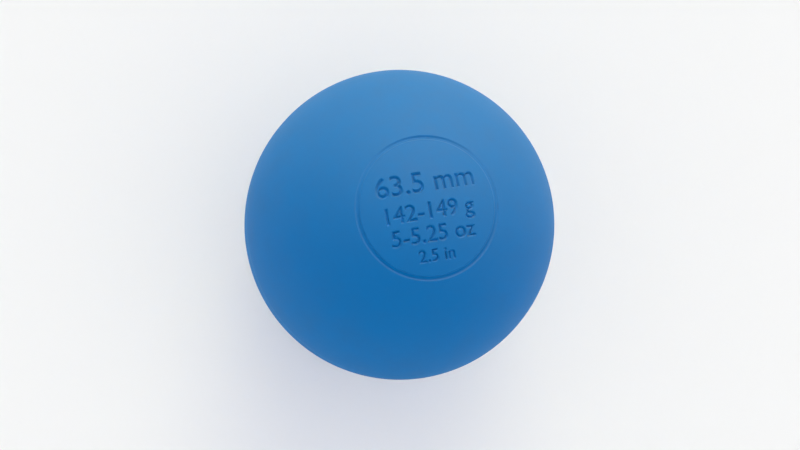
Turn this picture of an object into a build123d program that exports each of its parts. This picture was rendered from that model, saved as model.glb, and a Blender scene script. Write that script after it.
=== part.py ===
from build123d import *

import os
from math import asin, cos, radians, sin

# Moulded lacrosse ball: a rubber core inside two coloured half covers.
# The halves were cured round the core in a two-part mould and meet at its parting plane.
# Origin at the ball's centre, +Z along the mould's draw axis, the ringed mark at the top pole.
# Sizes are in millimetres.

ball_diameter = 63.5  # outside, between the field rules' limits of 62.7 and 64.7
cover_thickness = 6.0  # wall of each half cover
cement_film = 0.05  # rubber cement between the core and the covers
ring_diameter = 28.0  # round mark, measured across the middle of its groove
groove_width = 1.2  # mouth of the ring's groove, along the surface
groove_depth = 0.25  # below the ball's surface
seam_bevel = 0.12  # trimmed edge of each half cover, which leaves the moulding seam

ball_radius = ball_diameter / 2
cavity_radius = ball_radius - cover_thickness
core_radius = cavity_radius - cement_film


def on_sphere(radius, angle):
    """Point of the half section at this radius and this angle, in radians, from the top pole."""
    return (radius * sin(angle), radius * cos(angle))


def arc_on_sphere(radius, start, end):
    """Stretch of the half section's circle between two angles from the top pole."""
    points = [on_sphere(radius, angle) for angle in (start, (start + end) / 2, end)]
    return ThreePointArc(*points)


def turned(edges):
    """Solid turned about the draw axis from the closed half section that these edges make."""
    section = make_face([Plane.XZ * edge for edge in edges])
    return revolve(section, Axis.Z)


def half_cover(outside):
    """Upper half cover. Outside holds the edges from the top pole to the seam's bevel."""
    seam_edge = (ball_radius - seam_bevel, 0)
    cavity_edge = (cavity_radius, 0)
    return turned([
        Line((0, cavity_radius), (0, ball_radius)),
        *outside,
        Line(outside[-1] @ 1, seam_edge),
        Line(seam_edge, cavity_edge),
        arc_on_sphere(cavity_radius, radians(90), 0),
    ])


# Angle from the pole where the bevel starts, one bevel away from the parting plane.
bevel_start = radians(90) - asin(seam_bevel / ball_radius)


def upper_cover():
    """Half cover with the mark: a shallow round-bottomed groove rings the bare spot at its pole."""
    middle = asin(ring_diameter / 2 / ball_radius)
    half_mouth = groove_width / 2 / ball_radius
    inner_lip = middle - half_mouth
    outer_lip = middle + half_mouth
    groove = ThreePointArc(
        on_sphere(ball_radius, inner_lip),
        on_sphere(ball_radius - groove_depth, middle),
        on_sphere(ball_radius, outer_lip),
    )
    return half_cover([
        arc_on_sphere(ball_radius, 0, inner_lip),
        groove,
        arc_on_sphere(ball_radius, outer_lip, bevel_start),
    ])


def lower_cover():
    """Plain half cover, the upper one's shape without the groove, turned over."""
    return mirror(half_cover([arc_on_sphere(ball_radius, 0, bevel_start)]), Plane.XY)


def core():
    """Solid rubber core, which fills the cavity apart from the cement."""
    return turned([
        Line((0, -core_radius), (0, core_radius)),
        arc_on_sphere(core_radius, 0, radians(180)),
    ])


os.makedirs("parts", exist_ok=True)
for name, solid in {
    "core": core(),
    "upper_cover": upper_cover(),
    "lower_cover": lower_cover(),
}.items():
    export_step(solid, f"parts/{name}.step")
    print(name, round(solid.volume, 1), "mm3")
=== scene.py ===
# %% [markdown]
# # A moulded rubber ball
#
# This lesson dresses a lacrosse ball that was built at its real size beforehand: a core inside two half
# covers. Here the covers get their moulded surface, the mark gets its numbers, and the rubber, the light
# and the camera are made.

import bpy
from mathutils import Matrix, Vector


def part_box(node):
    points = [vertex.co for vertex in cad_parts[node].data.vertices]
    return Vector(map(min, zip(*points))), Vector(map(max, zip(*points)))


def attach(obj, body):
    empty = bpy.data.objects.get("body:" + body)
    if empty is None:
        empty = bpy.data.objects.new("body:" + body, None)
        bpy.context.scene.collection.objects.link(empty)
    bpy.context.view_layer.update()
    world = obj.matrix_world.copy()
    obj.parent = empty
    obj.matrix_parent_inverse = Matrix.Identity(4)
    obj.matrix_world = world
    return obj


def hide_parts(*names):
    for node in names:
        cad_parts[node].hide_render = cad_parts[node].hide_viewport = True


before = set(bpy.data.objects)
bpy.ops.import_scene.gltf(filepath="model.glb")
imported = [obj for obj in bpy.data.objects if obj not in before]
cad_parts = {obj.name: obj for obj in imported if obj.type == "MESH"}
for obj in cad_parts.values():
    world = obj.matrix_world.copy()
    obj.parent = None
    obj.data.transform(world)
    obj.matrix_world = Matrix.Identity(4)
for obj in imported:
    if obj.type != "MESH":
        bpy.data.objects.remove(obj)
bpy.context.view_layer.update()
print("nodes:", sorted(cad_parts))

# %% [markdown]
# ## Sizes
#
# What the frame already knows is measured on it, so that nothing has to be fitted later. The upper
# cover's box gives the ball's radius, and its innermost point the cavity's. Only what is cut into the
# surface is written out. Blender works in metres, but a ball's details are easier to judge in
# millimetres.

# %% Measure the ball
from math import asin, atan2, cos, hypot, pi, radians, remainder, sin, tan

import bmesh
import bpy
from mathutils import Matrix, Vector
from mathutils.bvhtree import BVHTree

MM = 0.001
centre = Vector((0, 0, 0))
along_y = Vector((0, 1, 0))
draw_axis = Vector((0, 0, 1))

ball_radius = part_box("upper_cover")[1].z
cavity_radius = min(vert.co.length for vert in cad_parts["upper_cover"].data.vertices)
wall = ball_radius - cavity_radius
print(f"ball {2 * ball_radius / MM:.2f} mm across, covers {wall / MM:.2f} mm thick")

# %% [markdown]
# ## Camera
#
# The photograph looks almost straight down on the mark: the mark's axis leans a little to the right of
# the line of sight and a little upwards, and its lines of numbers climb to the right. Those three angles
# fix the camera's turn. Its distance decides how much of the ball's side is hidden, and the lens then
# makes the outline as large as in the photograph, which is taken to be 800 by 450 pixels.

# %% Place the camera
image_width = 800
image_height = 450
outline_radius_px = 155.0
outline_centre_px = (399.4, 224.8)
mark_right = radians(11.1)
mark_up = radians(6.7)
numbers_climb = radians(9)
camera_distance = 21 * ball_radius

# The ball's own axes as the camera sees them: x to the right, y upwards, z towards the camera.
mark_axis = Vector((sin(mark_right) * cos(mark_up), sin(mark_up), cos(mark_right) * cos(mark_up)))
climb = Vector((cos(numbers_climb), sin(numbers_climb), 0))
climb.z = -climb.dot(mark_axis) / mark_axis.z
line_axis = climb.normalized()
from_camera = Matrix((line_axis, mark_axis.cross(line_axis), mark_axis))

focal_px = outline_radius_px / tan(asin(ball_radius / camera_distance))
metres_per_px = camera_distance / focal_px
aside = Vector((
    (image_width / 2 - outline_centre_px[0]) * metres_per_px,
    (outline_centre_px[1] - image_height / 2) * metres_per_px,
    camera_distance,
))

lens = bpy.data.cameras.new("camera")
lens.lens = lens.sensor_width * focal_px / image_width
camera = bpy.data.objects.new("camera", lens)
bpy.context.scene.collection.objects.link(camera)
camera.matrix_world = Matrix.Translation(from_camera @ aside) @ from_camera.to_4x4()
bpy.context.scene.camera = camera
print(f"lens {lens.lens:.0f} mm, camera at {[round(x, 3) for x in camera.matrix_world.translation]}")

# %% [markdown]
# ## Half covers
#
# A half cover is a turned form, so it is made as on a lathe. One point is spun round the ball's centre,
# which draws the outside from the pole to the equator. Extruding its last point inwards draws the seam's
# face, and spinning that one back to the pole draws the cavity. The finished half section is then spun
# round the draw axis. A UV sphere cut in half would be quicker, but its rings are evenly spaced, and this
# surface needs them close together only where the mark is pressed in.

# %% Spin a half cover
seam_bevel = 0.12 * MM
seam_bevel_segments = 3
plain_step = 1.2 * MM
cavity_steps = 10
weld = 0.001 * MM  # points nearer than this are one point
sharp_angle = radians(40)


def draw_arc(bm, points, angle, step, radius):
    """Spins the points round the ball's centre in steps of about this length. Returns the last ones."""
    steps = max(1, round(abs(angle) * radius / step))
    spun = bmesh.ops.spin(bm, geom=points, cent=centre, axis=along_y, angle=angle, steps=steps)
    return [item for item in spun["geom_last"] if isinstance(item, bmesh.types.BMVert)]


def spin_half_cover(stretches, segments):
    """Upper half cover. Each stretch of its outside is the angle from the pole to its end, and a step."""
    bm = bmesh.new()
    end = [bm.verts.new((0, 0, ball_radius))]
    reached = 0
    for angle, step in stretches:
        end = draw_arc(bm, end, angle - reached, step, ball_radius)
        reached = angle
    extruded = bmesh.ops.extrude_vert_indiv(bm, verts=end)
    bmesh.ops.translate(bm, verts=extruded["verts"], vec=(-wall, 0, 0))
    draw_arc(bm, extruded["verts"], -pi / 2, cavity_radius * pi / 2 / cavity_steps, cavity_radius)

    section = bm.verts[:] + bm.edges[:]
    bmesh.ops.spin(
        bm, geom=section, cent=centre, axis=draw_axis,
        angle=2 * pi, steps=segments, use_merge=True,
    )
    bmesh.ops.remove_doubles(bm, verts=bm.verts, dist=weld)
    bmesh.ops.recalc_face_normals(bm, faces=bm.faces)

    def on_seam(vert):
        return abs(vert.co.z) < weld and hypot(vert.co.x, vert.co.y) > ball_radius - wall / 2

    seam = [edge for edge in bm.edges if all(on_seam(vert) for vert in edge.verts)]
    bmesh.ops.bevel(
        bm, geom=seam, offset=seam_bevel, affect="EDGES",
        segments=seam_bevel_segments, profile=0.5, material=-1,
    )
    return bm


def finish_piece(bm, name):
    """Turns the bmesh into an object at the origin, smooth but for its sharp edges."""
    mesh = bpy.data.meshes.new(name)
    bm.to_mesh(mesh)
    bm.free()
    mesh.shade_smooth()
    mesh.set_sharp_from_angle(angle=sharp_angle)
    piece = bpy.data.objects.new(name, mesh)
    bpy.context.scene.collection.objects.link(piece)
    triangles = sum(len(face.vertices) - 2 for face in mesh.polygons)
    print(f"{name}: {triangles} triangles")
    return piece


# %% [markdown]
# ## Numbers for the mark
#
# A round stamp in the mould leaves a sunken ring and sunken figures in the ball. This one carries nothing
# but the ball's own size and weight. A text object draws the figures, and its filled outline becomes a
# flat mesh. A boolean would cut the same figures with knife-sharp walls, but figures in moulded rubber
# have soft lips and round corners. So the flat mesh is only used as a gauge: it tells how far a point
# lies inside a stroke.

# %% Draw the numbers flat
mark_lines = [
    # text, height of its figures and height of its base line above the pole, in millimetres
    ("63.5 mm", 4.2, 3.0),
    ("142-149 g", 3.4, -2.4),
    ("5-5.25 oz", 3.3, -6.9),
    ("2.5 in", 2.5, -10.7),
]
figure_height_share = 0.73  # height of a figure in a font of size 1
stroke_swell = 0.15 * MM  # what each side of a stroke gains, since the font's strokes are thin
lip_run = 0.35 * MM  # breadth of the slope from the surface to the floor of a stroke
curve_steps = 8
gauge_wall = 0.01 * MM
touch = 0.0005 * MM  # a point nearer than this to the filled outline lies on it


def flat_text(text, figure_height, base_line):
    """Flat bmesh of one line of text, in the middle of the mark."""
    curve = bpy.data.curves.new("figures", "FONT")
    curve.body = text
    curve.size = figure_height / figure_height_share * MM
    curve.resolution_u = curve_steps
    holder = bpy.data.objects.new("figures", curve)
    bpy.context.scene.collection.objects.link(holder)
    evaluated = holder.evaluated_get(bpy.context.evaluated_depsgraph_get())
    bm = bmesh.new()
    bm.from_mesh(bpy.data.meshes.new_from_object(evaluated))
    bpy.data.objects.remove(holder)
    sides = [vert.co.x for vert in bm.verts]
    bmesh.ops.translate(bm, verts=bm.verts, vec=(-(min(sides) + max(sides)) / 2, base_line * MM, 0))
    bmesh.ops.remove_doubles(bm, verts=bm.verts, dist=weld)
    return bm


def stroke_gauge(bm):
    """Function that tells how far a flat point lies inside a stroke, or below 0 how far outside."""
    filled = BVHTree.FromBMesh(bm)
    outline = [edge for edge in bm.edges if edge.is_boundary]
    raised = bmesh.ops.extrude_edge_only(bm, edges=outline)["geom"]
    tops = [item for item in raised if isinstance(item, bmesh.types.BMVert)]
    bmesh.ops.translate(bm, verts=tops, vec=(0, 0, gauge_wall))
    walls = {item for item in raised if isinstance(item, bmesh.types.BMFace)}
    bmesh.ops.delete(bm, geom=[face for face in bm.faces if face not in walls], context="FACES_ONLY")
    edges = BVHTree.FromBMesh(bm)

    def inside_by(point):
        nearest = edges.find_nearest(point, lip_run)[3]
        away = lip_run if nearest is None else nearest
        return away if filled.find_nearest(point, touch)[0] else -away

    return inside_by


gauges = []
for line in mark_lines:
    flat = flat_text(*line)
    width, height, _ = ((max(side) - min(side)) / MM for side in zip(*(vert.co for vert in flat.verts)))
    print(f"{line[0]!r}: {width:.1f} mm wide, {height:.1f} mm high")
    gauges.append(stroke_gauge(flat))
    flat.free()

# %% [markdown]
# ## Press the mark into the upper cover
#
# Every point near the mark asks the gauges how far it lies inside a stroke. Well outside nothing happens.
# Inside, the surface sinks in a smooth slope down to the full depth, as rubber does that was pressed
# against a stamp's rounded edges. The ring is the same kind of slope along a circle. In the photograph it
# almost fades at two places, so the stamp's ring is worn there and presses less deep. A bump map could
# fake all this, but true geometry catches the light from any side.

# %% Make the upper cover
ring_diameter = 28.0 * MM
groove_width = 1.2 * MM
groove_depth = 0.34 * MM
groove_run = 0.4 * MM
worn_places = [radians(27), radians(140)]  # anticlockwise from the end of the numbers' lines
worn_reach = radians(65)
worn_share = 0.6
figure_depth = 0.45 * MM
bare_radius = 0.25 * MM
figures_radius = 12.4 * MM
figures_step = 0.125 * MM
groove_step = 0.06 * MM
groove_margin = 0.25 * MM
cover_segments = 560


def angle_at(radius):
    """Angle from the pole of the ball's surface at this distance from the draw axis."""
    return asin(radius / ball_radius)


def eased(share):
    """Smooth step from 0 to 1."""
    share = min(1, max(0, share))
    return share * share * (3 - 2 * share)


def in_figures(point):
    """Share of its full depth, from 0 to 1, that the surface sinks here for the figures."""
    flat_point = Vector((point.x, point.y, 0))
    inside_by = max(gauge(flat_point) for gauge in gauges)
    return eased((inside_by + stroke_swell) / lip_run)


def in_ring(point):
    """Share of its full depth, from 0 to 1, that the surface sinks here for the ring."""
    middle = angle_at(ring_diameter / 2)
    away = abs(atan2(hypot(point.x, point.y), point.z) - middle) * ball_radius
    return eased((groove_width / 2 - away) / groove_run)


def ring_depth(point):
    """Full depth of the ring's groove beside this point, less where the stamp is worn."""
    around = atan2(point.y, point.x)
    wear = sum(eased(1 - abs(remainder(around - place, 2 * pi)) / worn_reach) for place in worn_places)
    return groove_depth * (1 - worn_share * wear)


def press_mark(bm):
    """Sinks the ring and the figures into the upper cover, and notes where their slopes are."""
    slope = bm.verts.layers.float.new("slope")
    for vert in bm.verts:
        from_axis = hypot(vert.co.x, vert.co.y)
        outside = vert.co.z > 0 and vert.co.length > ball_radius - wall / 2
        if outside and from_axis < figures_radius:
            sunk = in_figures(vert.co)
            depth = figure_depth
        elif outside and from_axis < ring_diameter / 2 + groove_width:
            sunk = in_ring(vert.co)
            depth = ring_depth(vert.co)
        else:
            continue
        vert[slope] = 4 * sunk * (1 - sunk)  # 1 halfway down, 0 at the top and the bottom
        vert.co *= 1 - depth * sunk / ball_radius


groove_inner = angle_at(ring_diameter / 2) - (groove_width / 2 + groove_margin) / ball_radius
groove_outer = angle_at(ring_diameter / 2) + (groove_width / 2 + groove_margin) / ball_radius
upper = spin_half_cover(
    [
        (angle_at(bare_radius), bare_radius),
        (angle_at(figures_radius), figures_step),
        (groove_inner, groove_margin),
        (groove_outer, groove_step),
        (pi / 2, plain_step),
    ],
    cover_segments,
)
press_mark(upper)
upper_cover = finish_piece(upper, "upper_cover_moulded")

# %% [markdown]
# ## Lower cover
#
# The lower cover is the same half cover without a mark, so it needs no close rings. Turning it over
# about the X axis keeps its faces pointing outwards, which a mirror would not.

# %% Make the lower cover
plain_segments = 240

lower = spin_half_cover([(pi / 2, plain_step)], plain_segments)
bmesh.ops.rotate(lower, verts=lower.verts, cent=centre, matrix=Matrix.Rotation(pi, 3, "X"))
lower_cover = finish_piece(lower, "lower_cover_moulded")

# %% [markdown]
# ## Colours and nodes
#
# Colours are written as they are read off a screen, as hex values in sRGB. Blender's shaders count in
# linear light, so one function turns them. Another adds a node: it sets the node's own settings, and each
# input is either a value or a link from another node's output.

# %% Helpers for materials


def linear(hex_colour):
    """Linear colour of an sRGB hex value such as #0F67AB."""
    shares = [int(hex_colour[i:i + 2], 16) / 255 for i in (1, 3, 5)]
    return tuple(s / 12.92 if s <= 0.04045 else ((s + 0.055) / 1.055) ** 2.4 for s in shares) + (1,)


def add_node(tree, kind, inputs=None, **settings):
    """New node of this kind with its settings, its inputs filled in or linked, by name or number."""
    node = tree.nodes.new("ShaderNode" + kind)
    for name, value in settings.items():
        setattr(node, name, value)
    for key, value in (inputs or {}).items():
        if isinstance(value, bpy.types.NodeSocket):
            tree.links.new(value, node.inputs[key])
        else:
            node.inputs[key].default_value = value
    return node


def new_material(name):
    """Empty node material with an output, and the output."""
    material = bpy.data.materials.new(name)
    material.use_nodes = True
    material.node_tree.nodes.clear()
    return material, add_node(material.node_tree, "OutputMaterial")


def per_size(millimetres):
    """Texture scale whose pattern repeats about once in this length."""
    return 1 / (millimetres * MM)


# %% [markdown]
# ## Blue moulded rubber
#
# The covers are pigmented rubber, matt as they come from a blasted steel mould. The eye sees one deep
# blue, a broad haze instead of a highlight, and a very fine grain. So the base colour wanders a little
# where the pigment mixed unevenly, the roughness wanders with it, and a fine noise makes the grain. The
# stamp is smoother than the mould, so the mark's slopes, which were noted when it was pressed in, shine a
# little more. Where the flash was buffed off the seam, the rubber is scuffed in patches, paler and
# rougher. Object coordinates give the height above the seam, so the scuffs need no paint or map.

# %% Make the blue rubber
rubber_ior = 1.52
pigment_patch_mm = 5
grain_mm = 0.45  # the blasted mould's grain is nearer 0.1 mm, drawn coarser so that it shows
grain_depth = 0.009 * MM
scuff_half_width = 0.9 * MM
scuff_patch_mm = 1.4
scuff_share = 0.2
usual_noise = (0.3, 0.7)  # most of a noise's values lie between these
pigment_detail = 5.0
scuff_detail = 3.0
grain_detail = 2.0
noise_roughness = 0.6  # how much of a noise its finer layers are
mould_roughness = (0.77, 0.85)
stamp_roughness = 0.6


def blue_moulded_rubber():
    material, output = new_material("blue_moulded_rubber")
    tree = material.node_tree
    place = add_node(tree, "TexCoord").outputs["Object"]
    patches = add_node(tree, "TexNoise", {
        "Vector": place, "Scale": per_size(pigment_patch_mm),
        "Detail": pigment_detail, "Roughness": noise_roughness,
    }).outputs["Fac"]
    pigment = add_node(tree, "Mix", {
        "Factor": patches, "A": linear("#0067A5"), "B": linear("#0473B6"),
    }, data_type="RGBA").outputs["Result"]

    height = add_node(tree, "SeparateXYZ", {"Vector": place}).outputs["Z"]
    off_seam = add_node(tree, "Math", {0: height}, operation="ABSOLUTE").outputs[0]
    band = add_node(tree, "MapRange", {
        "Value": off_seam, "From Min": 0.0, "From Max": scuff_half_width,
        "To Min": scuff_share, "To Max": 0.0,
    }).outputs["Result"]
    rubs = add_node(tree, "TexNoise", {
        "Vector": place, "Scale": per_size(scuff_patch_mm),
        "Detail": scuff_detail, "Roughness": noise_roughness,
    }).outputs["Fac"]
    scuffs = add_node(tree, "Math", {0: band, 1: rubs}, operation="MULTIPLY").outputs[0]
    colour = add_node(tree, "Mix", {
        "Factor": scuffs, "A": pigment, "B": linear("#9CC0DE"),
    }, data_type="RGBA").outputs["Result"]

    matt = add_node(tree, "MapRange", {
        "Value": patches, "From Min": usual_noise[0], "From Max": usual_noise[1],
        "To Min": mould_roughness[0], "To Max": mould_roughness[1],
    }).outputs["Result"]
    worn = add_node(tree, "Math", {0: matt, 1: scuffs}, operation="ADD").outputs[0]
    slope = add_node(tree, "Attribute", attribute_name="slope").outputs["Fac"]
    roughness = add_node(tree, "Mix", {
        "Factor": slope, "A": worn, "B": stamp_roughness,
    }).outputs["Result"]
    grain = add_node(tree, "TexNoise", {
        "Vector": place, "Scale": per_size(grain_mm),
        "Detail": grain_detail, "Roughness": noise_roughness,
    }).outputs["Fac"]
    bump = add_node(tree, "Bump", {"Height": grain, "Distance": grain_depth, "Strength": 1.0})
    shader = add_node(tree, "BsdfPrincipled", {
        "Base Color": colour, "Roughness": roughness, "IOR": rubber_ior, "Normal": bump.outputs["Normal"],
    })
    tree.links.new(shader.outputs["BSDF"], output.inputs["Surface"])
    return material


blue_rubber = blue_moulded_rubber()
for cover in (upper_cover, lower_cover):
    cover.data.materials.append(blue_rubber)
print("covers:", blue_rubber.name)

# %% [markdown]
# ## Dark filled rubber
#
# Nobody sees the core unless the ball is cut. It is plain rubber filled with carbon black and ground
# scrap, buffed so that the cement holds. Its solid keeps its shape and gets only this finish.

# %% Make the core's rubber
crumb_mm = 1.2
crumb_depth = 0.03 * MM
buffed_roughness = 0.8


def dark_filled_rubber():
    material, output = new_material("dark_filled_rubber")
    tree = material.node_tree
    place = add_node(tree, "TexCoord").outputs["Object"]
    crumbs = add_node(tree, "TexVoronoi", {"Vector": place, "Scale": per_size(crumb_mm)})
    colour = add_node(tree, "Mix", {
        "Factor": crumbs.outputs["Distance"], "A": linear("#2B2826"), "B": linear("#4A4541"),
    }, data_type="RGBA").outputs["Result"]
    bump = add_node(tree, "Bump", {
        "Height": crumbs.outputs["Distance"], "Distance": crumb_depth, "Strength": 1.0,
    })
    shader = add_node(tree, "BsdfPrincipled", {
        "Base Color": colour, "Roughness": buffed_roughness, "IOR": rubber_ior,
        "Normal": bump.outputs["Normal"],
    })
    tree.links.new(shader.outputs["BSDF"], output.inputs["Surface"])
    return material


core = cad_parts["core"]
core.data.materials.clear()
core.data.materials.append(dark_filled_rubber())
print("core:", core.data.materials[0].name)

# %% [markdown]
# ## Floor
#
# The ball lies on pale matt card. A card that only reflects light would show a heavy shadow all round the
# ball. So a fifth of what the eye sees of it is its plain colour, as if it were lit from behind, and the
# shadow that is left is a soft one. Light Path keeps that glow from lighting the ball: only what looks at
# the card straight, in a mirror or through glass gets it. From below, the card is clear, so that the
# underside of the ball can be looked at.

# %% Lay the floor
floor_half = 3.0
floor_colour = linear("#FAFAFA")
plain_share = 0.2


def pale_card():
    material, output = new_material("pale_card")
    material.cycles.emission_sampling = "NONE"
    tree = material.node_tree
    rays = add_node(tree, "LightPath").outputs
    seen = rays["Is Camera Ray"]
    for other_look in (rays["Is Glossy Ray"], rays["Is Transmission Ray"]):
        seen = add_node(tree, "Math", {0: seen, 1: other_look}, operation="ADD").outputs[0]
    share = add_node(tree, "Math", {0: seen, 1: plain_share}, operation="MULTIPLY").outputs[0]
    matt = add_node(tree, "BsdfDiffuse", {"Color": floor_colour}).outputs["BSDF"]
    plain = add_node(tree, "Emission", {"Color": floor_colour}).outputs["Emission"]
    card = add_node(tree, "MixShader", {0: share, 1: matt, 2: plain}).outputs["Shader"]
    below = add_node(tree, "NewGeometry").outputs["Backfacing"]
    clear = add_node(tree, "BsdfTransparent").outputs["BSDF"]
    surface = add_node(tree, "MixShader", {0: below, 1: card, 2: clear}).outputs["Shader"]
    tree.links.new(surface, output.inputs["Surface"])
    return material


ground = bmesh.new()
bmesh.ops.create_grid(ground, x_segments=1, y_segments=1, size=floor_half)
bmesh.ops.translate(ground, verts=ground.verts, vec=(0, 0, -ball_radius))
floor = finish_piece(ground, "floor")
floor.data.materials.append(pale_card())

# %% [markdown]
# ## Light
#
# The photograph was lit softly from all sides, so its blue hardly changes over the ball. What changes is
# the haze on top of it: a broad one from beyond the top of the picture and a weak one from the right. A
# sun as wide as the sky gives the even light. It is kept out of the rubber's shine, which would otherwise
# lie like a veil over the whole ball. A second sun, as broad as a softbox nearby, is the key: it gives
# the mark's walls a bright and a dark side and draws the soft shadow on the floor. An area lamp would do
# that too, but it burns a bright patch into the floor under itself. The sky is a little cool and the key
# a little warm, as by a window. The haze comes from two warm cards that only the shine sees. The world is
# the white backdrop behind the floor, for the eye and the shine.

# %% Set the sky and the key
sky_strength = 2.82  # a white sky of strength pi would show a colour just as it is written
sky_colour = linear("#F5F7FF")
key_strength = 1.45
key_colour = linear("#FFF8C8")
key_round = 85  # degrees round the picture, from its right
key_height = 22  # degrees above the floor
key_breadth = radians(41)
lamp_distance = 1.2

backdrop = bpy.data.worlds.new("white_backdrop")
backdrop.use_nodes = True
backdrop.node_tree.nodes["Background"].inputs["Color"].default_value = (1, 1, 1, 1)
backdrop.cycles_visibility.diffuse = False
bpy.context.scene.world = backdrop


def aim(round_picture, height):
    """Direction from the ball, in degrees round the picture from its right and above the floor."""
    across = from_camera @ Vector((cos(radians(round_picture)), sin(radians(round_picture)), 0))
    across.z = 0
    return across.normalized() * cos(radians(height)) + draw_axis * sin(radians(height))


def hang(lamp, direction):
    """Hangs the lamp in this direction from the ball, facing the ball."""
    holder = bpy.data.objects.new(lamp.name, lamp)
    holder.location = direction * lamp_distance
    holder.rotation_mode = "QUATERNION"
    holder.rotation_quaternion = direction.to_track_quat("Z", "Y")
    bpy.context.scene.collection.objects.link(holder)
    return holder


def new_sun(name, strength, breadth, colour):
    """Sun that looks as broad as this angle."""
    lamp = bpy.data.lights.new(name, "SUN")
    lamp.energy = strength
    lamp.angle = breadth
    lamp.color = colour[:3]
    return lamp


sky = new_sun("sky", sky_strength, pi, sky_colour)
sky.cycles.use_multiple_importance_sampling = False
hang(sky, draw_axis).visible_glossy = False
hang(new_sun("key", key_strength, key_breadth, key_colour), aim(key_round, key_height))
print(f"sky {sky_strength}, key {key_strength} at {key_round} degrees round the picture, {key_height} up")

# %% Add the cards for the haze
haze_cards = [
    # name, degrees round the picture and above the floor, width and height in metres, watts
    ("top_card", 78, 36, 1.6, 0.9, 25.5),
    ("right_card", 15, 9, 0.9, 0.9, 3.2),
]
card_colour = linear("#FFEED2")

for name, round_picture, height, width, length, power in haze_cards:
    card = bpy.data.lights.new(name, "AREA")
    card.shape = "RECTANGLE"
    card.size = width
    card.size_y = length
    card.energy = power
    card.color = card_colour[:3]
    hang(card, aim(round_picture, height)).visible_diffuse = False
    print(f"{name}: {power} W at {round_picture} degrees round the picture, {height} up")

bpy.context.scene.view_settings.view_transform = "Standard"

# %% [markdown]
# ## Dark flag
#
# The floor shows in the rubber's shine as a pale rim, and in the photograph the ball's lower edge has
# none. Photographers lay a dark cloth, a flag, beside such an edge. This one lies on the floor below the
# ball in the picture. Only the shine sees it, so the floor itself stays pale.

# %% Lay the flag
flag_round = 270  # degrees round the picture, from its right
flag_length = 70 * MM
flag_width = 50 * MM
flag_gap = 20 * MM  # from the point where the ball touches the floor
flag_raise = 1 * MM


def dark_felt():
    material, output = new_material("dark_felt")
    felt = add_node(material.node_tree, "BsdfDiffuse", {"Color": linear("#101010")})
    material.node_tree.links.new(felt.outputs["BSDF"], output.inputs["Surface"])
    return material


cloth = bmesh.new()
bmesh.ops.create_grid(cloth, x_segments=1, y_segments=1, size=0.5)
bmesh.ops.scale(cloth, verts=cloth.verts, vec=(flag_length, flag_width, 1))
flag_place = (flag_gap + flag_length / 2, 0, flag_raise - ball_radius)
bmesh.ops.translate(cloth, verts=cloth.verts, vec=flag_place)
flag_side = aim(flag_round, 0)
flag_turn = Matrix.Rotation(atan2(flag_side.y, flag_side.x), 3, "Z")
bmesh.ops.rotate(cloth, verts=cloth.verts, cent=centre, matrix=flag_turn)
flag = finish_piece(cloth, "flag")
flag.data.materials.append(dark_felt())
flag.visible_camera = False
flag.visible_diffuse = False
flag.visible_shadow = False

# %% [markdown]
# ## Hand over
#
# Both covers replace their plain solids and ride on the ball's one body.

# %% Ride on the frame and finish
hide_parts("upper_cover")
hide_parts("lower_cover")
for cover in (upper_cover, lower_cover):
    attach(cover, "root")
